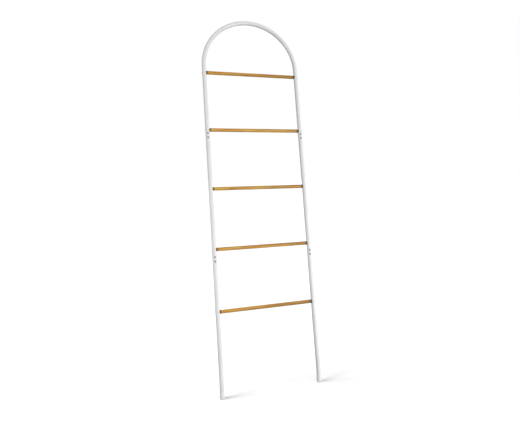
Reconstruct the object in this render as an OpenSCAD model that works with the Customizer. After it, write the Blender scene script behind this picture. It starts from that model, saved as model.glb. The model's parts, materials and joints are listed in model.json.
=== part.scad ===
// Leaning ladder towel rack: white steel tube frame with a half-round top and bamboo rungs.
// Millimetres, +Z up, wall towards +Y. The origin is on the floor, at the centre of the
// footprint of the rack as it leans.
//
// Every piece is drawn in the plane of the ladder first: x to the right, y towards the wall,
// z along the rails from where their axes meet the floor. in_ladder() then leans it back.

/* [Frame] */
// Distance between the centre lines of the two rails
rail_spacing = 450; // [380:1:560]
// Outer diameter of the steel tube
tube_d = 19; // [18:0.5:22]
// Wall thickness of the steel tube
tube_wall = 1.2; // [1:0.1:1.4]
// Angle of the rails from upright
lean = 13; // [8:0.1:16]
// How far the half-round bend starts above the top rung
bend_rise = 32; // [20:1:120]

/* [Rungs] */
// Number of rungs
rung_count = 5; // [4:1:6]
// Diameter of a rung
rung_d = 16; // [15:0.5:17]
// Length along the rails up to the lowest rung
first_rung = 360; // [260:1:420]
// Distance from one rung to the next
rung_pitch = 269; // [220:0.5:300]
// How far a rung's end reaches round the rail
saddle_depth = 1.5; // [1:0.1:2]

/* [Feet and bumpers] */
// Outer diameter of a foot cap
foot_d = 22; // [22:0.5:24]
// Height of a foot cap along the rail
foot_h = 28; // [24:1:34]
// Rubber under the end of the tube
foot_sole = 6; // [5:0.5:8]
// Rounding of the edge of a sole
foot_round = 3; // [2:0.5:3]
// Diameter of a wall bumper
bumper_d = 12; // [10:0.5:13]
// Angle of a bumper from the crown of the arch
bumper_angle = 20; // [15:1:25]
// Gap that the bumpers keep between the crown and the wall
wall_gap = 1; // [0.5:0.1:3]

/* [Joints] */
// How far the lower joint sits below the second rung
lower_drop = 42; // [30:0.5:80]
// How far the upper joint sits below the fourth rung
upper_drop = 26.5; // [24.5:0.5:80]
// Length of the sleeve inside a tube joint
sleeve_l = 40; // [34:1:41]
// Wall thickness of the sleeve
sleeve_wall = 2.4; // [2:0.1:3]
// Distance between the two screws of a joint
joint_screw_pitch = 19; // [17:0.5:20]
// Gap where two tubes meet
seam_gap = 0.2; // [0.1:0.1:0.4]

/* [Fasteners] */
// Thread diameter of a joint screw
joint_screw_d = 4; // [3:0.5:4]
// Head diameter of a joint screw
joint_head_d = 7.6; // [7:0.1:8]
// Head height of a joint screw
joint_head_h = 2.2; // [2:0.1:2.6]
// Length of a joint screw under its head
joint_screw_l = 8; // [7:0.5:10]
// Thread diameter of a rung screw
rung_screw_d = 5; // [4:0.5:5]
// Head diameter of a rung screw
rung_head_d = 9; // [8:0.5:10]
// Head height of a rung screw
rung_head_h = 1.6; // [1.4:0.1:2]
// Length of a rung screw under its head
rung_screw_l = 35; // [34:0.5:36]
// Outer diameter of a threaded insert
insert_d = 8; // [7.5:0.5:9]
// Length of a threaded insert
insert_l = 13; // [12:0.5:13.5]

/* [Hidden] */
$fn = 64;

left = -1;
right = 1;

tube_r = tube_d / 2;
bore_r = tube_r - tube_wall;
rung_r = rung_d / 2;
foot_r = foot_d / 2;
rail_x = rail_spacing / 2;
arch_r = rail_x;

// Heights along the rails
lower_seam = rung_height(2) - lower_drop;
upper_seam = rung_height(4) - upper_drop;
bend_start = rung_height(rung_count) + bend_rise;

// Clearances on the radius: a sleeve in a tube, a screw in a thread and in a plain hole, and
// two pieces that sit against each other
slip = 0.1;
thread_gap = 0.03;
screw_gap = 0.25;
touch = 0.05;
// How far a cutter runs past the face that it cuts
overcut = 1;

// The wall stands just behind the crown, and the footprint runs from the feet to the wall
crown_y = (bend_start + arch_r) * sin(lean);
wall_y = crown_y + tube_r + wall_gap;
footprint_y = (wall_y - foot_r) / 2;

// Depths inside a rung's end, measured from the rail's centre line
insert_recess = 1;
screw_room = 4;
insert_start = tube_r + insert_recess;
insert_end = insert_start + insert_l;
pilot_end = insert_end + screw_room;

// Hexagon sockets of the screw heads: across flats and depth
joint_socket = 2.5;
joint_socket_h = 1.3;
rung_socket = 3;
rung_socket_h = 1;

white_steel = "white";
zinc = "silver";
brass = "goldenrod";
bamboo = "burlywood";
off_white = "gainsboro";

sides = ["left", "right"];
per_rung = ["rung_", "rung_inserts_", "rung_screws_"];
per_side = [
    "lower_rail_", "middle_rail_", "lower_sleeve_", "upper_sleeve_",
    "lower_joint_screws_", "upper_joint_screws_", "foot_", "wall_bumper_"
];

function rung_height(i) = first_rung + (i - 1) * rung_pitch;

// ---- placing ----

// Leans a piece back from upright and centres the footprint on the origin
module in_ladder() {
    translate([0, -footprint_y, 0])
        rotate([-lean, 0, 0])
            children();
}

// Puts a piece on the centre line of one rail, at a height along it
module on_rail(side, height) {
    translate([side * rail_x, 0, height])
        children();
}

// Turns a piece drawn along +Z so that it points out of the front of the ladder
module facing_front() {
    rotate([90, 0, 0])
        children();
}

// Turns a piece drawn along +Z so that it points sideways, away from the middle
module facing_out(side) {
    rotate([0, side * 90, 0])
        children();
}

// ---- cutters ----

// Clearance holes for the rung screw, right across one rail
module rung_screw_hole(side, i) {
    hole_l = tube_d + 2 * overcut;
    on_rail(side, rung_height(i))
        facing_out(side)
            cylinder(r = rung_screw_d / 2 + screw_gap, h = hole_l, center = true);
}

// Clearance hole for one joint screw, through the front wall of a rail only
module joint_screw_hole(side, height) {
    on_rail(side, height)
        facing_front()
            cylinder(r = joint_screw_d / 2 + screw_gap, h = tube_r + overcut);
}

// ---- steel tubes ----

// One straight tube of a rail, from one height to another
module straight_tube(side, from, to) {
    on_rail(side, from)
        difference() {
            cylinder(r = tube_r, h = to - from);
            translate([0, 0, -overcut])
                cylinder(r = bore_r, h = to - from + 2 * overcut);
        }
}

// Half of a ring, standing in the plane of the ladder over the start of the bend
module half_ring(section_r) {
    translate([0, 0, bend_start])
        rotate([90, 0, 0])
            rotate_extrude(angle = 180)
                translate([arch_r, 0])
                    circle(r = section_r);
}

// The same bar with its two legs, solid: the tube's outside or its bore
module arch_bar(section_r, from) {
    half_ring(section_r);
    for (side = [left, right])
        on_rail(side, from)
            cylinder(r = section_r, h = bend_start - from);
}

module top_arch() {
    from = upper_seam + seam_gap / 2;
    color(white_steel)
        in_ladder()
            difference() {
                arch_bar(tube_r, from);
                arch_bar(bore_r, from - overcut);
                for (side = [left, right]) {
                    joint_screw_hole(side, upper_seam + joint_screw_pitch / 2);
                    for (i = [1 : rung_count])
                        if (rung_height(i) > upper_seam)
                            rung_screw_hole(side, i);
                }
            }
}

module middle_rail(side) {
    color(white_steel)
        in_ladder()
            difference() {
                straight_tube(side, lower_seam + seam_gap / 2, upper_seam - seam_gap / 2);
                joint_screw_hole(side, lower_seam + joint_screw_pitch / 2);
                joint_screw_hole(side, upper_seam - joint_screw_pitch / 2);
                for (i = [1 : rung_count])
                    if (rung_height(i) > lower_seam && rung_height(i) < upper_seam)
                        rung_screw_hole(side, i);
            }
}

module lower_rail(side) {
    color(white_steel)
        in_ladder()
            difference() {
                straight_tube(side, foot_sole + touch, lower_seam - seam_gap / 2);
                joint_screw_hole(side, lower_seam - joint_screw_pitch / 2);
                for (i = [1 : rung_count])
                    if (rung_height(i) < lower_seam)
                        rung_screw_hole(side, i);
            }
}

// ---- tube joints ----

// A sleeve inside the joint, tapped on its front for the two screws
module joint_sleeve(side, seam) {
    sleeve_r = bore_r - slip;
    color(zinc)
        in_ladder()
            difference() {
                on_rail(side, seam)
                    difference() {
                        cylinder(r = sleeve_r, h = sleeve_l, center = true);
                        cylinder(r = sleeve_r - sleeve_wall, h = sleeve_l + overcut, center = true);
                    }
                for (end = [-1, 1])
                    on_rail(side, seam + end * joint_screw_pitch / 2)
                        facing_front()
                            cylinder(r = joint_screw_d / 2 + thread_gap, h = tube_r);
            }
}

// Hexagon socket, its mouth at z = 0, running down
module hex_socket(across_flats, depth) {
    translate([0, 0, -depth])
        cylinder(d = across_flats / cos(30), h = depth + overcut, $fn = 6);
}

// Domed screw, its head on z = 0 and its thread below
module joint_screw() {
    dome_r = (pow(joint_head_d / 2, 2) + pow(joint_head_h, 2)) / (2 * joint_head_h);
    difference() {
        union() {
            intersection() {
                translate([0, 0, joint_head_h - dome_r])
                    sphere(r = dome_r);
                cylinder(d = joint_head_d, h = joint_head_h);
            }
            translate([0, 0, -joint_screw_l])
                cylinder(d = joint_screw_d, h = joint_screw_l + joint_head_h / 2);
        }
        translate([0, 0, joint_head_h])
            hex_socket(joint_socket, joint_socket_h);
    }
}

module joint_screws(side, seam) {
    color(zinc)
        in_ladder()
            for (end = [-1, 1])
                on_rail(side, seam + end * joint_screw_pitch / 2)
                    facing_front()
                        translate([0, 0, tube_r])
                            joint_screw();
}

// ---- rungs and their fixings ----

module rung(i) {
    reach = rail_x - tube_r + saddle_depth;
    color(bamboo)
        in_ladder()
            difference() {
                translate([0, 0, rung_height(i)])
                    rotate([0, 90, 0])
                        cylinder(r = rung_r, h = 2 * reach, center = true);
                for (side = [left, right]) {
                    on_rail(side, rung_height(i) - rung_d)
                        cylinder(r = tube_r + touch, h = 2 * rung_d);
                    on_rail(side, rung_height(i))
                        facing_out(-side) {
                            cylinder(r = insert_d / 2 + touch, h = insert_end);
                            cylinder(r = rung_screw_d / 2 + screw_gap, h = pilot_end);
                        }
                }
            }
}

module rung_inserts(i) {
    color(brass)
        in_ladder()
            for (side = [left, right])
                on_rail(side, rung_height(i))
                    facing_out(-side)
                        translate([0, 0, insert_start])
                            difference() {
                                cylinder(d = insert_d, h = insert_l - touch);
                                translate([0, 0, -overcut])
                                    cylinder(
                                        r = rung_screw_d / 2 + thread_gap,
                                        h = insert_l + 2 * overcut
                                    );
                            }
}

// Low-headed screw, its head on z = 0 and its thread below
module rung_screw() {
    edge = rung_head_h / 3;
    difference() {
        union() {
            cylinder(d = rung_head_d, h = rung_head_h - edge);
            translate([0, 0, rung_head_h - edge])
                cylinder(d1 = rung_head_d, d2 = rung_head_d - 2 * edge, h = edge);
            translate([0, 0, -rung_screw_l])
                cylinder(d = rung_screw_d, h = rung_screw_l + edge);
        }
        translate([0, 0, rung_head_h])
            hex_socket(rung_socket, rung_socket_h);
    }
}

module rung_screws(i) {
    color(white_steel)
        in_ladder()
            for (side = [left, right])
                on_rail(side, rung_height(i))
                    facing_out(side)
                        translate([0, 0, tube_r])
                            rung_screw();
}

// ---- feet and wall bumpers ----

// A cap on the tube's axis, before its sole is cut
module foot_cap() {
    rim = 0.8;
    difference() {
        union() {
            translate([0, 0, -foot_sole])
                cylinder(r = foot_r, h = foot_sole + foot_h - rim);
            translate([0, 0, foot_h - rim])
                cylinder(r1 = foot_r, r2 = foot_r - rim, h = rim);
        }
        translate([0, 0, foot_sole])
            cylinder(r = tube_r + touch, h = foot_h);
    }
}

// Everything that stands on a flat, round-edged sole at z = 0, wide enough for a leaning cap
module over_sole() {
    lean_room = 1;
    flat_r = foot_r - foot_round + lean_room;
    cylinder(r = flat_r, h = foot_round);
    translate([0, 0, foot_round]) {
        rotate_extrude()
            translate([flat_r, 0])
                circle(r = foot_round);
        cylinder(r1 = flat_r + foot_round, r2 = flat_r + foot_round + foot_h, h = 2 * foot_h);
    }
}

module foot(side) {
    color(off_white)
        intersection() {
            in_ladder()
                on_rail(side, 0)
                    foot_cap();
            translate([side * rail_x, -footprint_y, 0])
                over_sole();
        }
}

// A soft pad, hollowed to sit on the back of the arch, with its flat end on the wall
module wall_bumper(side) {
    pad_height = bend_start + arch_r * cos(bumper_angle);
    pad_x = side * arch_r * sin(bumper_angle);
    pad_y = pad_height * sin(lean);
    buried = tube_r * 0.7;
    edge = 0.6;
    pad_l = wall_y - pad_y - buried;
    color(off_white)
        difference() {
            translate([pad_x, pad_y - footprint_y + buried, pad_height * cos(lean)])
                rotate([-90, 0, 0]) {
                    cylinder(d = bumper_d, h = pad_l - edge);
                    translate([0, 0, pad_l - edge])
                        cylinder(d1 = bumper_d, d2 = bumper_d - 2 * edge, h = edge);
                }
            in_ladder()
                half_ring(tube_r + touch);
        }
}

top_arch();
for (side = [left, right]) {
    end = side == left ? "left" : "right";
    lower_rail(side);
    middle_rail(side);
    joint_sleeve(side, lower_seam);
    joint_sleeve(side, upper_seam);
    joint_screws(side, lower_seam);
    joint_screws(side, upper_seam);
    foot(side);
    wall_bumper(side);
}
for (i = [1 : rung_count]) {
    rung(i);
    rung_inserts(i);
    rung_screws(i);
}
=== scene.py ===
"""Leaning ladder towel rack: finishes, turned rungs, fasteners, moulded ends, floor, light."""

import json
import math

import bmesh
import bpy
from mathutils import Matrix, Vector


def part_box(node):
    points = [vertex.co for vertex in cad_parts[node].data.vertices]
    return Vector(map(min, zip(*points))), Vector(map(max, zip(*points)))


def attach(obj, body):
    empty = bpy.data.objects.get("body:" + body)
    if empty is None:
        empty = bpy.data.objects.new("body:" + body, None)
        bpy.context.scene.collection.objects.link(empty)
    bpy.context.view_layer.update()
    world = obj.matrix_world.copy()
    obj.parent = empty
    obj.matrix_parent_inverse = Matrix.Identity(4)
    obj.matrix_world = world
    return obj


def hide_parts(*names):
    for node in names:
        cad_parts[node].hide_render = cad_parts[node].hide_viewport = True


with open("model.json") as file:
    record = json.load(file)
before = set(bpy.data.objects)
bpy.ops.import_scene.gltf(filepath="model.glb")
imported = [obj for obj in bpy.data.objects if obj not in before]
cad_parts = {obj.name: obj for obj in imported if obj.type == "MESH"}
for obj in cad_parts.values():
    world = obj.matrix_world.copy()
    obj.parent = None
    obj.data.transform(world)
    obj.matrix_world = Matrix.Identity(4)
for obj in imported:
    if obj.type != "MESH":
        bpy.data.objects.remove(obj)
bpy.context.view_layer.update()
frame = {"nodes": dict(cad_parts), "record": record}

MM = 0.001

# Driving dimensions of the rack, in metres
TUBE_R = 9.5 * MM
RUNG_R = 8 * MM
FIT_GAP = 0.05 * MM
SADDLE_R = TUBE_R + FIT_GAP
SADDLE_DEPTH = 1.5 * MM
JOINT_SCREW_PITCH = 19 * MM
FOOT_R = 11 * MM
FOOT_H = 28 * MM
FOOT_SOLE = 6 * MM
SOLE_R = 9 * MM
BUMPER_R = 6 * MM

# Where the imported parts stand
MOUNT = {m["name"]: Vector(m["pos_m"]) for m in frame["record"]["mounts"]}
RUNGS = sorted(name for name in frame["nodes"] if name.startswith("rung_") and name[5:].isdigit())
SIDES = {"left": -1, "right": 1}


def centre(node):
    """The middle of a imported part's box."""
    low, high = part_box(node)
    return (low + high) / 2


RIGHTWARDS = Vector((1, 0, 0))
ALONG = (centre(RUNGS[-1]) - centre(RUNGS[0])).normalized()
WALLWARDS = ALONG.cross(RIGHTWARDS)
FOOTING = (MOUNT["floor_left"] + MOUNT["floor_right"]) / 2
RAIL_X = MOUNT["floor_right"].x
LEAN = math.atan2(ALONG.y, ALONG.z)
# Ladder plane to room: x right, y towards the wall, z along the rails
LADDER = Matrix.Translation(FOOTING) @ Matrix.Rotation(-LEAN, 4, "X")
BEND_HEIGHT = (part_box("top_arch")[1].z - TUBE_R) / math.cos(LEAN) - RAIL_X


def height_of(node):
    """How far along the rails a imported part's middle is."""
    return (centre(node) - FOOTING).dot(ALONG)


RUNG_PITCH = height_of(RUNGS[1]) - height_of(RUNGS[0])


# ---- nodes ----


def srgb(code):
    """A hex colour as linear RGBA."""
    values = [int(code[i : i + 2], 16) / 255 for i in (1, 3, 5)]
    linear = [v / 12.92 if v <= 0.04045 else ((v + 0.055) / 1.055) ** 2.4 for v in values]
    return (*linear, 1.0)


def add_node(tree, kind, links=None, values=None, **settings):
    """One node with its settings, its input values and the sockets that feed it."""
    made = tree.nodes.new(kind)
    for name, value in settings.items():
        setattr(made, name, value)
    for name, value in (values or {}).items():
        made.inputs[name].default_value = value
    for name, sources in (links or {}).items():
        for source in sources if isinstance(sources, list) else [sources]:
            tree.links.new(source, made.inputs[name])
    return made


# The colour sockets of a Mix node
MIX_A, MIX_B, MIX_OUT = 6, 7, 2


def new_material(name, **values):
    """An empty material, its tree and its principled shader with the given socket values."""
    material = bpy.data.materials.new(name)
    material.use_nodes = True
    tree = material.node_tree
    tree.nodes.clear()
    shader = add_node(tree, "ShaderNodeBsdfPrincipled")
    for socket, value in values.items():
        shader.inputs[socket.replace("_", " ")].default_value = value
    add_node(tree, "ShaderNodeOutputMaterial", {"Surface": shader.outputs["BSDF"]})
    return material, tree, shader


def per_metre(size):
    """Texture scale for a pattern of that size in metres."""
    return 1 / size


# ---- finishes ----


def wandering_tone(tree, shader, place, size, detail, light, dark):
    """A colour that wanders between two tones in patches of a size; returns the patches."""
    patches = add_node(
        tree,
        "ShaderNodeTexNoise",
        {"Vector": place},
        {"Scale": per_metre(size), "Detail": detail},
    )
    tone = add_node(
        tree,
        "ShaderNodeMix",
        {0: patches.outputs["Fac"]},
        {MIX_A: srgb(light), MIX_B: srgb(dark)},
        data_type="RGBA",
    )
    tree.links.new(tone.outputs[MIX_OUT], shader.inputs["Base Color"])
    return patches.outputs["Fac"]


def fine_relief(tree, shader, place, size, detail, strength, depth):
    """Bumps of a size all over; returns their height."""
    bumps = add_node(
        tree,
        "ShaderNodeTexNoise",
        {"Vector": place},
        {"Scale": per_metre(size), "Detail": detail},
    )
    relief = add_node(
        tree,
        "ShaderNodeBump",
        {"Height": bumps.outputs["Fac"]},
        {"Strength": strength, "Distance": depth},
    )
    tree.links.new(relief.outputs["Normal"], shader.inputs["Normal"])
    return bumps.outputs["Fac"]


def powder_coated_steel():
    """Polyester powder coat, oven cured: white, satin, with a faint orange peel."""
    material, tree, shader = new_material("powder_coated_steel_white", IOR=1.5)
    place = add_node(tree, "ShaderNodeTexCoord").outputs["Object"]
    # Thickness of the coat wanders over a hand's width and shifts the white a little
    wandering_tone(tree, shader, place, 60 * MM, 2.0, "#EEEEEE", "#F9F9F9")
    # Real orange peel is 1 to 2 mm wide; it is drawn at 3 mm so that it shows
    peel = fine_relief(tree, shader, place, 3 * MM, 1.0, strength=0.35, depth=0.05 * MM)
    gloss = add_node(tree, "ShaderNodeMapRange", {"Value": peel}, {"To Min": 0.2, "To Max": 0.3})
    tree.links.new(gloss.outputs["Result"], shader.inputs["Roughness"])
    return material


# The bamboo: how thick its strips are, which strip of the stack the floor is at, which settles
# the tones that meet in each rung, and how far up the rails the tone is lightest
STRIP = 5.3 * MM
FIRST_STRIP = 124.77
LIGHTEST_AT = (height_of(RUNGS[2]) + height_of(RUNGS[3])) / 2


def lacquered_bamboo():
    """Laminated bamboo, turned and lacquered: stacked strips, long fibres, dark node lines."""
    material, tree, shader = new_material(
        "laminated_bamboo_lacquered", IOR=1.48, Coat_Weight=0.1, Coat_Roughness=0.3
    )
    room = add_node(tree, "ShaderNodeTexCoord").outputs["Object"]
    place = add_node(
        tree, "ShaderNodeMapping", {"Vector": room}, {"Rotation": (LEAN, 0, 0)}
    ).outputs["Vector"]
    axes = add_node(tree, "ShaderNodeSeparateXYZ", {"Vector": place})

    # The block that a rung is turned from is stacked from strips
    strips = add_node(
        tree, "ShaderNodeMath", {0: axes.outputs["Z"]}, {1: STRIP}, operation="DIVIDE"
    )
    counted = add_node(
        tree, "ShaderNodeMath", {0: strips.outputs[0]}, {1: FIRST_STRIP}, operation="ADD"
    )
    strip = add_node(tree, "ShaderNodeMath", {0: counted.outputs[0]}, operation="FLOOR")
    dye = add_node(
        tree, "ShaderNodeTexWhiteNoise", {"W": strip.outputs[0]}, noise_dimensions="1D"
    )

    # Heat colours each strip from olive to orange over about a hand's width
    lane = add_node(
        tree,
        "ShaderNodeCombineXYZ",
        {"X": axes.outputs["X"], "Y": strip.outputs[0]},
    )
    heat = add_node(
        tree,
        "ShaderNodeTexNoise",
        {"Vector": lane.outputs["Vector"]},
        {"Scale": per_metre(90 * MM), "Detail": 2.0},
    )
    spread = add_node(
        tree,
        "ShaderNodeMapRange",
        {"Value": heat.outputs["Fac"]},
        {"From Min": 0.4, "From Max": 0.6},
    )
    honey = add_node(
        tree,
        "ShaderNodeMix",
        {0: spread.outputs["Result"]},
        {MIX_A: srgb("#EBC158"), MIX_B: srgb("#ECA342")},
        data_type="RGBA",
    )
    # The dye differs by strip, and the rungs are darker towards their right-hand ends
    darker_to_right = add_node(
        tree,
        "ShaderNodeMapRange",
        {"Value": axes.outputs["X"]},
        {"From Min": -RAIL_X, "From Max": RAIL_X, "To Min": -0.4, "To Max": 0.15},
    )
    # Planks differ too: the rungs were sawn from darker ones low down, and the tone drifts
    # to its lightest between the third rung and the fourth, in a wave six pitches long
    per_height = 2 * math.pi / (6 * RUNG_PITCH)
    drift = add_node(
        tree,
        "ShaderNodeMath",
        {0: axes.outputs["Z"]},
        {1: per_height, 2: -LIGHTEST_AT * per_height},
        operation="MULTIPLY_ADD",
    )
    swell = add_node(tree, "ShaderNodeMath", {0: drift.outputs[0]}, operation="COSINE")
    plank = add_node(
        tree,
        "ShaderNodeMath",
        {0: swell.outputs[0], 2: darker_to_right.outputs["Result"]},
        {1: -0.2},
        operation="MULTIPLY_ADD",
    )
    dye_depth = add_node(
        tree,
        "ShaderNodeMath",
        {0: dye.outputs["Value"], 2: plank.outputs[0]},
        {1: 0.85},
        operation="MULTIPLY_ADD",
        use_clamp=True,
    )
    strip_tone = add_node(
        tree,
        "ShaderNodeMix",
        {0: dye_depth.outputs[0], MIX_A: honey.outputs[MIX_OUT]},
        {MIX_B: srgb("#96620E")},
        data_type="RGBA",
    )

    # Fibre bundles are about 0.4 mm thick; they are drawn at 2.2 mm so that they show
    stretched = add_node(
        tree,
        "ShaderNodeMapping",
        {"Vector": place},
        {"Scale": (per_metre(80 * MM), per_metre(2.2 * MM), per_metre(2.2 * MM))},
    )
    fibres = add_node(
        tree,
        "ShaderNodeTexNoise",
        {"Vector": stretched.outputs["Vector"]},
        {"Scale": 1.0, "Detail": 3.0},
    )
    streaks = add_node(
        tree,
        "ShaderNodeMapRange",
        {"Value": fibres.outputs["Fac"]},
        {"From Min": 0.48, "From Max": 0.68, "To Max": 0.8},
    )
    grain = add_node(
        tree,
        "ShaderNodeMix",
        {0: streaks.outputs["Result"], MIX_A: strip_tone.outputs[MIX_OUT]},
        {MIX_B: srgb("#8E5E18")},
        data_type="RGBA",
    )

    # Each strip crosses a culm node, 3 mm wide, every 230 mm, at a place of its own
    shifted = add_node(
        tree,
        "ShaderNodeMath",
        {0: dye.outputs["Value"], 1: axes.outputs["X"]},
        operation="ADD",
    )
    nearest = add_node(
        tree, "ShaderNodeMath", {0: shifted.outputs[0]}, {1: 115 * MM}, operation="PINGPONG"
    )
    node_line = add_node(
        tree,
        "ShaderNodeMapRange",
        {"Value": nearest.outputs[0]},
        {"From Min": 1.0 * MM, "From Max": 2.0 * MM, "To Min": 0.45, "To Max": 0.0},
    )
    noded = add_node(
        tree,
        "ShaderNodeMix",
        {0: node_line.outputs["Result"], MIX_A: grain.outputs[MIX_OUT]},
        {MIX_B: srgb("#6E4A20")},
        data_type="RGBA",
    )

    # Painted shade where the rails shade the rung ends: about 8 mm of a rung is dark on the left,
    # 12 mm on the right. Its edge is 7 mm wide and follows the fibres
    shade_starts, shade_full, skew = 16 * MM, 9 * MM, 2 * MM
    skewed = add_node(
        tree, "ShaderNodeMath", {0: axes.outputs["X"]}, {1: skew}, operation="ADD"
    )
    reach = add_node(tree, "ShaderNodeMath", {0: skewed.outputs[0]}, operation="ABSOLUTE")
    shade_edge_wobble = add_node(
        tree,
        "ShaderNodeMath",
        {0: fibres.outputs["Fac"]},
        {1: 5 * MM},
        operation="MULTIPLY",
    )
    end_shade_line = add_node(
        tree,
        "ShaderNodeMath",
        {0: reach.outputs[0], 1: shade_edge_wobble.outputs[0]},
        operation="ADD",
    )
    end_shade = add_node(
        tree,
        "ShaderNodeMapRange",
        {"Value": end_shade_line.outputs[0]},
        {
            "From Min": RAIL_X - shade_starts - skew,
            "From Max": RAIL_X - shade_full - skew,
            "To Max": 0.78,
        },
        interpolation_type="SMOOTHSTEP",
    )
    # Painted shade: the rung ends turn this dark brown
    ended = add_node(
        tree,
        "ShaderNodeMix",
        {0: end_shade.outputs["Result"], MIX_A: noded.outputs[MIX_OUT]},
        {MIX_B: srgb("#43331B")},
        data_type="RGBA",
    )
    tree.links.new(ended.outputs[MIX_OUT], shader.inputs["Base Color"])

    gloss = add_node(
        tree,
        "ShaderNodeMapRange",
        {"Value": fibres.outputs["Fac"]},
        {"To Min": 0.34, "To Max": 0.56},
    )
    tree.links.new(gloss.outputs["Result"], shader.inputs["Roughness"])
    relief = add_node(
        tree,
        "ShaderNodeBump",
        {"Height": fibres.outputs["Fac"]},
        {"Strength": 0.4, "Distance": 0.08 * MM},
    )
    tree.links.new(relief.outputs["Normal"], shader.inputs["Normal"])
    return material


def turned_metal(name, light, dark, roughness):
    """A plated or bare metal part off a lathe: fine turning marks and a patchy tone."""
    material, tree, shader = new_material(name, Metallic=1.0)
    place = add_node(tree, "ShaderNodeTexCoord").outputs["Object"]
    patches = wandering_tone(tree, shader, place, 2.5 * MM, 3.0, light, dark)
    gloss = add_node(
        tree,
        "ShaderNodeMapRange",
        {"Value": patches},
        {"To Min": roughness - 0.08, "To Max": roughness + 0.1},
    )
    tree.links.new(gloss.outputs["Result"], shader.inputs["Roughness"])
    # A lathe tool leaves marks about 0.1 mm apart; they are drawn at 0.4 mm so that they show
    fine_relief(tree, shader, place, 0.4 * MM, 1.0, strength=0.25, depth=0.02 * MM)
    return material


def moulded_rubber(name, light, dark):
    """Injection-moulded rubber: matt, with the fine grain of an etched mould."""
    material, tree, shader = new_material(name, IOR=1.52)
    place = add_node(tree, "ShaderNodeTexCoord").outputs["Object"]
    wandering_tone(tree, shader, place, 12 * MM, 3.0, light, dark)
    # An etched mould's grain is 0.1 to 0.3 mm wide; it is drawn at 0.6 mm so that it shows
    etch = fine_relief(tree, shader, place, 0.6 * MM, 2.0, strength=0.4, depth=0.04 * MM)
    gloss = add_node(tree, "ShaderNodeMapRange", {"Value": etch}, {"To Min": 0.5, "To Max": 0.72})
    tree.links.new(gloss.outputs["Result"], shader.inputs["Roughness"])
    return material


STEEL = powder_coated_steel()
FINISH = {
    "white_steel": STEEL,
    "coated_screw": STEEL,
    "bamboo": lacquered_bamboo(),
    "screw_steel": turned_metal("zinc_plated_steel", "#9C9EA0", "#7F8284", 0.38),
    "plated_steel": turned_metal("zinc_plated_tube", "#B9BBBD", "#9A9C9E", 0.42),
    "insert_brass": turned_metal("turned_brass", "#C9A55A", "#A8843C", 0.3),
    "foot_rubber": moulded_rubber("moulded_rubber_foot", "#FBFBFA", "#F2F2F1"),
    "bumper_rubber": moulded_rubber("moulded_silicone_pad", "#E6E6E3", "#D6D6D3"),
}
for part in frame["record"]["subparts"]:
    mesh = frame["nodes"][part["node"]].data
    mesh.materials.clear()
    mesh.materials.append(FINISH[part["material_slot"]])


# ---- meshes ----


def link(name, mesh):
    """A new object at the origin for a mesh."""
    piece = bpy.data.objects.new(name, mesh)
    bpy.context.scene.collection.objects.link(piece)
    return piece


def smooth_under(mesh, degrees):
    """Smooth shading, with every edge sharper than that angle kept crisp."""
    shaped = bmesh.new()
    shaped.from_mesh(mesh)
    bmesh.ops.remove_doubles(shaped, verts=shaped.verts, dist=0.001 * MM)
    bmesh.ops.recalc_face_normals(shaped, faces=shaped.faces)
    for face in shaped.faces:
        face.smooth = True
    for edge in shaped.edges:
        edge.smooth = edge.is_manifold and edge.calc_face_angle() < math.radians(degrees)
    shaped.to_mesh(mesh)
    shaped.free()


def skin(name, rings):
    """A closed mesh through rings of equal length, with a flat face on each end."""
    count = len(rings[0])
    points = [tuple(point) for ring in rings for point in ring]
    faces = [list(range(count))[::-1], [len(points) - count + i for i in range(count)]]
    for low in range(0, len(points) - count, count):
        for i in range(count):
            j = (i + 1) % count
            faces.append([low + i, low + j, low + count + j, low + count + i])
    mesh = bpy.data.meshes.new(name)
    mesh.from_pydata(points, [], faces)
    return mesh


def add_piece(name, mesh, slot, nodes):
    """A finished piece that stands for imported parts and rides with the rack."""
    if not mesh.materials:
        mesh.materials.append(FINISH[slot])
    piece = link(name, mesh)
    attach(piece, "root")
    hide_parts(*nodes)
    return piece


# ---- geometry node trees ----


def new_tree(name, inputs):
    """A geometry tree with named inputs, and its input node."""
    tree = bpy.data.node_groups.new(name, "GeometryNodeTree")
    face = tree.interface
    face.new_socket("Geometry", in_out="INPUT", socket_type="NodeSocketGeometry")
    for label, kind in inputs.items():
        face.new_socket(label, in_out="INPUT", socket_type="NodeSocket" + kind)
    face.new_socket("Geometry", in_out="OUTPUT", socket_type="NodeSocketGeometry")
    return tree, add_node(tree, "NodeGroupInput").outputs


def grow(name, seats, tree, values):
    """The plain mesh that a tree makes from a mesh of seats."""
    host = link(name, seats)
    modifier = host.modifiers.new(name, "NODES")
    modifier.node_group = tree
    for socket in tree.interface.items_tree:
        if socket.in_out == "INPUT" and socket.name in values:
            modifier[socket.identifier] = values[socket.name]
    bpy.context.view_layer.update()
    evaluated = host.evaluated_get(bpy.context.evaluated_depsgraph_get())
    mesh = bpy.data.meshes.new_from_object(evaluated)
    host.modifiers.remove(modifier)
    bpy.data.objects.remove(host)
    return mesh


def seats_at(name, seats):
    """A mesh of loose points, each with the direction that it faces."""
    mesh = bpy.data.meshes.new(name)
    mesh.from_pydata([place for place, facing in seats], [], [])
    facing = mesh.attributes.new("facing", "FLOAT_VECTOR", "POINT")
    for i, (place, direction) in enumerate(seats):
        facing.data[i].vector = direction
    return mesh


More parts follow.
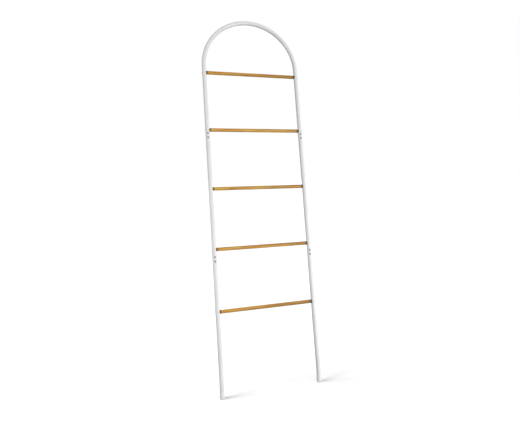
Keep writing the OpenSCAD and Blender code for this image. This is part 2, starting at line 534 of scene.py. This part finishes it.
def socket_screw_tree():
    """Domed socket screws, one on each seat, each turned to a chance angle."""
    tree, size = new_tree(
        "socket_screws",
        {
            "Head diameter": "Float",
            "Head height": "Float",
            "Dome": "Float",
            "Socket width": "Float",
            "Socket depth": "Float",
            "Thread diameter": "Float",
            "Thread length": "Float",
            "Thread pitch": "Float",
            "Thread depth": "Float",
            "Seed": "Int",
            "Material": "Material",
        },
    )
    # Head: a disc whose top falls away towards its rim
    head_r = add_node(
        tree, "ShaderNodeMath", {0: size["Head diameter"]}, {1: 0.5}, operation="MULTIPLY"
    )
    blank = add_node(
        tree,
        "GeometryNodeMeshCylinder",
        {"Radius": head_r.outputs[0], "Depth": size["Head height"]},
        {"Vertices": 36, "Side Segments": 2, "Fill Segments": 7},
        fill_type="NGON",
    )
    half_head = add_node(
        tree, "ShaderNodeMath", {0: size["Head height"]}, {1: 0.5}, operation="MULTIPLY"
    )
    lift = add_node(tree, "ShaderNodeCombineXYZ", {"Z": half_head.outputs[0]})
    seated = add_node(
        tree,
        "GeometryNodeSetPosition",
        {"Geometry": blank.outputs["Mesh"], "Offset": lift.outputs[0]},
    )
    place = add_node(tree, "GeometryNodeInputPosition")
    flat = add_node(
        tree, "ShaderNodeVectorMath", {0: place.outputs[0]}, {1: (1, 1, 0)}, operation="MULTIPLY"
    )
    share = add_node(
        tree,
        "ShaderNodeVectorMath",
        {0: flat.outputs[0], 1: head_r.outputs[0]},
        operation="DIVIDE",
    )
    square = add_node(
        tree,
        "ShaderNodeVectorMath",
        {0: share.outputs[0], 1: share.outputs[0]},
        operation="DOT_PRODUCT",
    )
    fall = add_node(
        tree,
        "ShaderNodeMath",
        {0: square.outputs["Value"], 1: size["Dome"]},
        operation="MULTIPLY",
    )
    left = add_node(
        tree, "ShaderNodeMath", {1: fall.outputs[0]}, {0: 1.0}, operation="SUBTRACT"
    )
    squash = add_node(
        tree, "ShaderNodeCombineXYZ", {"Z": left.outputs[0]}, {"X": 1.0, "Y": 1.0}
    )
    domed_place = add_node(
        tree,
        "ShaderNodeVectorMath",
        {0: place.outputs[0], 1: squash.outputs[0]},
        operation="MULTIPLY",
    )
    head = add_node(
        tree,
        "GeometryNodeSetPosition",
        {"Geometry": seated.outputs[0], "Position": domed_place.outputs[0]},
    )

    # Shank: the core of the thread, its top buried in the head. It and the hexagon are
    # turned a little, so that none of their corners meets an edge of the head
    thread_r = add_node(
        tree, "ShaderNodeMath", {0: size["Thread diameter"]}, {1: 0.5}, operation="MULTIPLY"
    )
    core_r = add_node(
        tree,
        "ShaderNodeMath",
        {0: thread_r.outputs[0], 1: size["Thread depth"]},
        operation="SUBTRACT",
    )
    core_l = add_node(
        tree,
        "ShaderNodeMath",
        {0: size["Thread length"], 1: half_head.outputs[0]},
        operation="ADD",
    )
    core = add_node(
        tree,
        "GeometryNodeMeshCylinder",
        {"Radius": core_r.outputs[0], "Depth": core_l.outputs[0]},
        {"Vertices": 20},
    )
    core_mid = add_node(
        tree,
        "ShaderNodeMath",
        {0: core_l.outputs[0], 2: half_head.outputs[0]},
        {1: -0.5},
        operation="MULTIPLY_ADD",
    )
    core_place = add_node(tree, "ShaderNodeCombineXYZ", {"Z": core_mid.outputs[0]})
    shank = add_node(
        tree,
        "GeometryNodeTransform",
        {"Geometry": core.outputs["Mesh"], "Translation": core_place.outputs[0]},
        {"Rotation": (0, 0, math.radians(4))},
    )
    solid = add_node(
        tree,
        "GeometryNodeMeshBoolean",
        {"Mesh 2": [head.outputs[0], shank.outputs[0]]},
        operation="UNION",
        solver="EXACT",
    )

    # Hexagon socket, sunk from the top of the head
    hex_r = add_node(
        tree,
        "ShaderNodeMath",
        {0: size["Socket width"]},
        {1: 1 / math.sqrt(3)},
        operation="MULTIPLY",
    )
    hex_l = add_node(
        tree, "ShaderNodeMath", {0: size["Socket depth"]}, {1: 2.0}, operation="MULTIPLY"
    )
    hexagon = add_node(
        tree,
        "GeometryNodeMeshCylinder",
        {"Radius": hex_r.outputs[0], "Depth": hex_l.outputs[0]},
        {"Vertices": 6},
    )
    head_top = add_node(tree, "ShaderNodeCombineXYZ", {"Z": size["Head height"]})
    cutter = add_node(
        tree,
        "GeometryNodeTransform",
        {"Geometry": hexagon.outputs["Mesh"], "Translation": head_top.outputs[0]},
        {"Rotation": (0, 0, math.radians(3))},
    )
    drilled = add_node(
        tree,
        "GeometryNodeMeshBoolean",
        {"Mesh 1": solid.outputs["Mesh"], "Mesh 2": cutter.outputs[0]},
        operation="DIFFERENCE",
        solver="EXACT",
    )

    # Thread: a ridge wound round the core, from half a pitch above its end to one below the head
    wound = add_node(
        tree,
        "ShaderNodeMath",
        {0: size["Thread pitch"], 2: size["Thread length"]},
        {1: -1.5},
        operation="MULTIPLY_ADD",
    )
    turns = add_node(
        tree,
        "ShaderNodeMath",
        {0: wound.outputs[0], 1: size["Thread pitch"]},
        operation="DIVIDE",
    )
    winding = add_node(
        tree,
        "GeometryNodeCurveSpiral",
        {
            "Rotations": turns.outputs[0],
            "Start Radius": core_r.outputs[0],
            "End Radius": core_r.outputs[0],
            "Height": wound.outputs[0],
        },
        {"Resolution": 20, "Reverse": True},
    )
    ridge_profile = add_node(
        tree,
        "GeometryNodeCurvePrimitiveCircle",
        {"Radius": size["Thread depth"]},
        {"Resolution": 4},
    )
    ridge = add_node(
        tree,
        "GeometryNodeCurveToMesh",
        {"Curve": winding.outputs[0], "Profile Curve": ridge_profile.outputs["Curve"]},
        {"Fill Caps": True},
    )
    thread_drop = add_node(
        tree,
        "ShaderNodeMath",
        {0: wound.outputs[0], 1: size["Thread pitch"]},
        operation="ADD",
    )
    thread_down = add_node(
        tree,
        "ShaderNodeVectorMath",
        {0: thread_drop.outputs[0]},
        {1: (0, 0, -1)},
        operation="MULTIPLY",
    )
    thread = add_node(
        tree,
        "GeometryNodeTransform",
        {"Geometry": ridge.outputs["Mesh"], "Translation": thread_down.outputs[0]},
    )
    screw = add_node(
        tree,
        "GeometryNodeJoinGeometry",
        {"Geometry": [drilled.outputs["Mesh"], thread.outputs[0]]},
    )

    # One on each seat, square to it
    facing = add_node(
        tree,
        "GeometryNodeInputNamedAttribute",
        values={"Name": "facing"},
        data_type="FLOAT_VECTOR",
    )
    square_on = add_node(
        tree,
        "FunctionNodeAlignRotationToVector",
        {"Vector": facing.outputs["Attribute"]},
        axis="Z",
    )
    chance = add_node(
        tree, "FunctionNodeRandomValue", {"Seed": size["Seed"]}, data_type="FLOAT"
    )
    twist = add_node(tree, "ShaderNodeCombineXYZ", {"Z": chance.outputs[1]})
    twist_turn = add_node(tree, "FunctionNodeEulerToRotation", {"Euler": twist.outputs[0]})
    tightened = add_node(
        tree,
        "FunctionNodeRotateRotation",
        {"Rotation": square_on.outputs[0], "Rotate By": twist_turn.outputs[0]},
        rotation_space="LOCAL",
    )
    placed = add_node(
        tree,
        "GeometryNodeInstanceOnPoints",
        {
            "Points": size["Geometry"],
            "Instance": screw.outputs[0],
            "Rotation": tightened.outputs[0],
        },
    )
    real = add_node(tree, "GeometryNodeRealizeInstances", {"Geometry": placed.outputs[0]})
    coloured = add_node(
        tree,
        "GeometryNodeSetMaterial",
        {"Geometry": real.outputs[0], "Material": size["Material"]},
    )
    add_node(tree, "NodeGroupOutput", {"Geometry": coloured.outputs[0]})
    return tree


def rung_tree():
    """Rungs on their seats, with the slight waviness that turning and sanding leave."""
    tree, size = new_tree(
        "turned_rungs",
        {
            "Rung": "Object",
            "Tilt": "Vector",
            "Waviness": "Float",
            "Wave length": "Float",
            "Material": "Material",
        },
    )
    blank = add_node(tree, "GeometryNodeObjectInfo", {"Object": size["Rung"]})
    tilt = add_node(tree, "FunctionNodeEulerToRotation", {"Euler": size["Tilt"]})
    placed = add_node(
        tree,
        "GeometryNodeInstanceOnPoints",
        {
            "Points": size["Geometry"],
            "Instance": blank.outputs["Geometry"],
            "Rotation": tilt.outputs[0],
        },
    )
    real = add_node(tree, "GeometryNodeRealizeInstances", {"Geometry": placed.outputs[0]})
    place = add_node(tree, "GeometryNodeInputPosition")
    scaled = add_node(
        tree,
        "ShaderNodeVectorMath",
        {0: place.outputs[0], 1: size["Wave length"]},
        operation="DIVIDE",
    )
    waves = add_node(
        tree, "ShaderNodeTexNoise", {"Vector": scaled.outputs[0]}, {"Scale": 1.0, "Detail": 1.0}
    )
    swing = add_node(
        tree, "ShaderNodeMath", {0: waves.outputs["Fac"]}, {1: 0.5}, operation="SUBTRACT"
    )
    depth = add_node(
        tree,
        "ShaderNodeMath",
        {0: swing.outputs[0], 1: size["Waviness"]},
        operation="MULTIPLY",
    )
    outward = add_node(tree, "GeometryNodeInputNormal")
    push = add_node(
        tree,
        "ShaderNodeVectorMath",
        {0: outward.outputs[0], "Scale": depth.outputs[0]},
        operation="SCALE",
    )
    turned = add_node(
        tree, "GeometryNodeInputNamedAttribute", values={"Name": "turned"}, data_type="BOOLEAN"
    )
    waved = add_node(
        tree,
        "GeometryNodeSetPosition",
        {
            "Geometry": real.outputs[0],
            "Selection": turned.outputs["Attribute"],
            "Offset": push.outputs[0],
        },
    )
    again = add_node(tree, "GeometryNodeRealizeInstances", {"Geometry": waved.outputs[0]})
    coloured = add_node(
        tree,
        "GeometryNodeSetMaterial",
        {"Geometry": again.outputs[0], "Material": size["Material"]},
    )
    add_node(tree, "NodeGroupOutput", {"Geometry": coloured.outputs[0]})
    return tree


# ---- rungs ----


def rung_blank():
    """One rung on the x axis: coped to the rails, its ends bored for a threaded insert."""
    around = 48
    reach = RAIL_X - TUBE_R + SADDLE_DEPTH
    arris = 0.3 * MM
    bore_r, pilot_r = 4.05 * MM, 2.75 * MM
    bore_x, pilot_x = RAIL_X - 23.5 * MM, RAIL_X - 27.5 * MM

    def ring(radius, place):
        """Points round the axis, each at the x that place gives for it."""
        points = []
        for k in range(around):
            angle = 2 * math.pi * k / around
            y, z = radius * math.cos(angle), radius * math.sin(angle)
            points.append((place(y), y, z))
        return points

    def coped(back=0.0):
        """The x of the end face, which is hollowed to the rail."""
        return lambda y: min(reach, RAIL_X - math.sqrt(SADDLE_R**2 - y**2)) - back

    def at(x):
        return lambda y: x

    face_radii = [RUNG_R - arris, 6.6 * MM, 5.4 * MM, bore_r]
    right = [ring(RUNG_R, coped(arris))] + [ring(r, coped()) for r in face_radii]
    right += [ring(r, at(x)) for r, x in ((bore_r, bore_x), (pilot_r, bore_x), (pilot_r, pilot_x))]
    left = [[(-x, y, z) for x, y, z in points] for points in reversed(right)]
    steps = 70
    span = reach - 6 * MM
    body = [ring(RUNG_R, at(-span + 2 * span * k / steps)) for k in range(steps + 1)]
    mesh = skin("rung_blank", left + body + right)
    turned = mesh.attributes.new("turned", "BOOLEAN", "POINT")
    first = len(left) * around
    for k in range(first, first + len(body) * around):
        turned.data[k].value = True
    return link("rung_blank", mesh)


blank = rung_blank()
rungs = grow(
    "rungs",
    seats_at("rung_seats", [(centre(name), ALONG) for name in RUNGS]),
    rung_tree(),
    {
        "Rung": blank,
        "Tilt": (-LEAN, 0, 0),
        "Waviness": 0.3 * MM,
        "Wave length": 35 * MM,
        "Material": FINISH["bamboo"],
    },
)
bpy.data.objects.remove(blank)
smooth_under(rungs, 40)
add_piece("bamboo_rungs", rungs, "bamboo", RUNGS)


# ---- screws ----

SCREWS = socket_screw_tree()
SEAM_NODES = [f"{level}_sleeve_{side}" for level in ("lower", "upper") for side in SIDES]
joint_seats = []
for node in SEAM_NODES:
    rail = SIDES[node.rsplit("_", 1)[1]] * RAIL_X
    for end in (-0.5, 0.5):
        seat = Vector((rail, -TUBE_R, height_of(node) + end * JOINT_SCREW_PITCH))
        joint_seats.append((LADDER @ seat, -WALLWARDS))
joint_screws = grow(
    "joint_screws",
    seats_at("joint_seats", joint_seats),
    SCREWS,
    {
        "Head diameter": 7.6 * MM,
        "Head height": 2.2 * MM,
        "Dome": 0.75,
        "Socket width": 2.5 * MM,
        "Socket depth": 1.3 * MM,
        "Thread diameter": 4 * MM,
        "Thread length": 8 * MM,
        "Thread pitch": 0.7 * MM,
        "Thread depth": 0.2 * MM,
        "Seed": 3,
        "Material": FINISH["screw_steel"],
    },
)
smooth_under(joint_screws, 35)
JOINT_NODES = [f"{level}_joint_screws_{side}" for level in ("lower", "upper") for side in SIDES]
add_piece("tube_joint_screws", joint_screws, "screw_steel", JOINT_NODES)

rung_seats = []
for name in RUNGS:
    for side in SIDES.values():
        seat = Vector((side * (RAIL_X + TUBE_R), 0, height_of(name)))
        rung_seats.append((LADDER @ seat, side * RIGHTWARDS))
rung_screws = grow(
    "rung_screws",
    seats_at("rung_screw_seats", rung_seats),
    SCREWS,
    {
        "Head diameter": 9 * MM,
        "Head height": 1.6 * MM,
        "Dome": 0.35,
        "Socket width": 3 * MM,
        "Socket depth": 1 * MM,
        "Thread diameter": 5 * MM,
        "Thread length": 35 * MM,
        "Thread pitch": 0.8 * MM,
        "Thread depth": 0.23 * MM,
        "Seed": 8,
        "Material": FINISH["coated_screw"],
    },
)
smooth_under(rung_screws, 35)
RUNG_SCREW_NODES = [name.replace("rung_", "rung_screws_") for name in RUNGS]
add_piece("coated_rung_screws", rung_screws, "coated_screw", RUNG_SCREW_NODES)


# ---- feet ----


def foot_cap(sign):
    """A cap on the end of a rail: a level sole with a soft edge, and a round mouth."""
    around = 48
    edge, taper, mouth_round = 2 * MM, 0.2 * MM, 0.7 * MM
    lead_in, lead_depth = 0.2 * MM, 0.3 * MM

    def ring(height, radius, square):
        """A ring on the rail's axis, from level at square 0 to square with the rail at 1."""
        tilt = Matrix.Rotation(-LEAN * square, 3, "X")
        base = FOOTING + sign * RAIL_X * RIGHTWARDS + ALONG * height
        points = []
        for k in range(around):
            angle = 2 * math.pi * k / around
            points.append(base + tilt @ Vector((math.cos(angle), math.sin(angle), 0)) * radius)
        return points

    rings = [ring(0, SOLE_R, 0)]
    # Soft edge of the sole, a quarter turn
    for k in range(1, 7):
        turn = math.radians(15 * k)
        rise = edge * (1 - math.cos(turn))
        rings.append(ring(rise, SOLE_R + (FOOT_R - SOLE_R) * math.sin(turn), rise / edge * 0.35))
    # Wall: square with the rail by the inside of the sole, then tapered a little
    rings.append(ring(4 * MM, FOOT_R, 0.7))
    rings.append(ring(6.5 * MM, FOOT_R, 1))
    rings.append(ring(FOOT_H / 2, FOOT_R - taper / 2, 1))
    rings.append(ring(FOOT_H - mouth_round, FOOT_R - taper, 1))
    # Round mouth, a quarter turn, then the bore with its lead-in
    for k in range(1, 5):
        turn = math.radians(22.5 * k)
        inset = mouth_round * (1 - math.cos(turn))
        rise = mouth_round * math.sin(turn)
        rings.append(ring(FOOT_H - mouth_round + rise, FOOT_R - taper - inset, 1))
    rings.append(ring(FOOT_H, SADDLE_R + lead_in, 1))
    rings.append(ring(FOOT_H - lead_depth, SADDLE_R, 1))
    rings.append(ring(FOOT_SOLE, SADDLE_R, 1))
    return skin("foot_cap", rings)


# ---- wall bumpers ----


def wall_pad(side):
    """A round pad between the arch and the wall, its back hollowed to the tube."""
    around, shells, soft = 40, 5, 0.9 * MM
    wall = MOUNT[f"wall_{side}"]
    to_ladder = LADDER.inverted()

    def off_tube(point):
        """How far a point is outside the arch's tube."""
        local = to_ladder @ point
        sideways = math.hypot(local.x, local.z - BEND_HEIGHT) - RAIL_X
        return math.hypot(sideways, local.y) - SADDLE_R

    def onto_tube(point):
        """The point moved away from the wall until it meets the tube."""
        near, far = 0.0, 2 * TUBE_R
        for _ in range(40):
            middle = (near + far) / 2
            if off_tube(point - Vector((0, middle, 0))) > 0:
                near = middle
            else:
                far = middle
        return point - Vector((0, near, 0))

    def ring(radius, back):
        points = []
        for k in range(around):
            angle = 2 * math.pi * k / around
            spoke = Vector((math.cos(angle), 0, math.sin(angle))) * radius
            points.append(wall + spoke - Vector((0, back, 0)))
        return points

    face_r = BUMPER_R - soft
    rings = [ring(face_r, 0)]
    # Soft edge on the wall's side, a quarter turn
    for k in range(1, 6):
        turn = math.radians(18 * k)
        rings.append(ring(face_r + soft * math.sin(turn), soft * (1 - math.cos(turn))))
    # Side, then the hollow that takes the tube, in rings that shrink towards its middle
    hollow = [BUMPER_R * (1 - k / shells) + FIT_GAP for k in range(1, shells)]
    for radius in [BUMPER_R, *hollow]:
        rings.append([onto_tube(point) for point in ring(radius, 0)])
    return skin("wall_pad", rings)


for side, sign in SIDES.items():
    cap = foot_cap(sign)
    smooth_under(cap, 50)
    add_piece(f"foot_cap_{side}", cap, "foot_rubber", [f"foot_{side}"])
    pad = wall_pad(side)
    smooth_under(pad, 50)
    add_piece(f"wall_pad_{side}", pad, "bumper_rubber", [f"wall_bumper_{side}"])


# ---- floor, light and camera ----


def lit_by(lamp, name, objects):
    """Limits a lamp to some objects."""
    group = bpy.data.collections.new(name)
    for item in objects:
        group.objects.link(item)
    lamp.light_linking.receiver_collection = group


def studio_floor():
    """A white sweep; it gives the rack no bounce, so the tube's underside stays in shade."""
    half = 12
    mesh = bpy.data.meshes.new("studio_floor")
    corners = [(-half, -half, 0), (half, -half, 0), (half, half, 0), (-half, half, 0)]
    mesh.from_pydata(corners, [], [(0, 1, 2, 3)])
    material = new_material(
        "painted_studio_floor", Base_Color=srgb("#F2F2F2"), Roughness=0.9, Specular_IOR_Level=0.0
    )[0]
    mesh.materials.append(material)
    floor = link("studio_floor", mesh)
    floor.visible_diffuse = False
    floor.visible_glossy = False
    floor.visible_shadow = False
    return floor


def studio_world(base, lean_of_light):
    """White behind everything; as light it is dimmer on the left and below."""
    world = bpy.data.worlds.new("studio")
    world.use_nodes = True
    tree = world.node_tree
    tree.nodes.clear()
    way = add_node(tree, "ShaderNodeTexCoord").outputs["Generated"]
    tilt = add_node(
        tree,
        "ShaderNodeVectorMath",
        {0: way},
        {1: lean_of_light},
        operation="DOT_PRODUCT",
    )
    level = add_node(
        tree, "ShaderNodeMath", {0: tilt.outputs["Value"]}, {1: base}, operation="ADD"
    )
    white = srgb("#FFFFFF")
    lit = add_node(
        tree, "ShaderNodeBackground", {"Strength": level.outputs[0]}, {"Color": white}
    )
    seen = add_node(tree, "ShaderNodeBackground", values={"Color": white})
    path = add_node(tree, "ShaderNodeLightPath")
    both = add_node(
        tree,
        "ShaderNodeMixShader",
        {0: path.outputs["Is Camera Ray"], 1: lit.outputs[0], 2: seen.outputs[0]},
    )
    add_node(tree, "ShaderNodeOutputWorld", {"Surface": both.outputs[0]})
    bpy.context.scene.world = world


def lamp_at(name, kind, place, aim, energy, **settings):
    """A lamp that looks at a point."""
    data = bpy.data.lights.new(name, kind)
    data.energy = energy
    for setting, value in settings.items():
        setattr(data, setting, value)
    lamp = bpy.data.objects.new(name, data)
    bpy.context.scene.collection.objects.link(lamp)
    lamp.location = place
    lamp.rotation_euler = (Vector(aim) - Vector(place)).to_track_quat("-Z", "Y").to_euler()
    return lamp


# Softboxes: place, aim, watts and shape, in metres
RACK_MIDDLE = (0, 0, 0.9)
SOFTBOXES = {
    "front_softbox": ((1.8, -2.8, 0.9), RACK_MIDDLE, 44, {"size": 1.4}),
    "left_softbox": ((-3, -0.6, 0.7), RACK_MIDDLE, 27, {"size": 1.4}),
    # Tall and narrow: it draws one bright line down the front of each rail
    "left_strip": (
        (-2.4, -2.3, 1.8),
        (-0.1, 0, 0.9),
        16,
        {"shape": "RECTANGLE", "size": 0.14, "size_y": 3.2},
    ),
}
# A row of suns overhead, in the plane of the ladder, how steep each is in degrees, and how
# strong and wide they are: each foot's shadow is a short narrow streak to the right, and the
# rungs' shadows fall along the same line
SUN_SLOPES = (30, 45, 60, 75)
SUN_POWER = 0.78
SUN_WIDTH = math.radians(24)

FLOOR = studio_floor()
RACK = [item for item in bpy.data.objects if item.type == "MESH" and item != FLOOR]
studio_world(base=0.39, lean_of_light=(0.4, 0, 0.22))
for name, (place, aim, watts, shape) in SOFTBOXES.items():
    lit_by(lamp_at(name, "AREA", place, aim, watts, **shape), f"lit_by_{name}", RACK)
for degrees in SUN_SLOPES:
    slope = math.radians(degrees)
    name = f"floor_light_{degrees}"
    place = ALONG * math.sin(slope) - RIGHTWARDS * math.cos(slope)
    sun = lamp_at(name, "SUN", place, (0, 0, 0), SUN_POWER, angle=SUN_WIDTH)
    lit_by(sun, f"lit_by_{name}", [FLOOR])

# The camera stands left of the rack's middle, 1.05 m up, and looks down and to the right by
# these angles, in degrees
EYE = (-0.5753, -1.8302, 1.0537)
LOOKS_DOWN = 6.72
LOOKS_RIGHT = 17.48

scene = bpy.context.scene
scene.view_settings.view_transform = "Standard"
lens = bpy.data.cameras.new("camera")
lens.lens = 29.08
lens.sensor_width = 36
lens.shift_y = -0.024
camera = bpy.data.objects.new("camera", lens)
scene.collection.objects.link(camera)
camera.location = EYE
camera.rotation_euler = (math.radians(90 - LOOKS_DOWN), 0, math.radians(-LOOKS_RIGHT))
scene.camera = camera
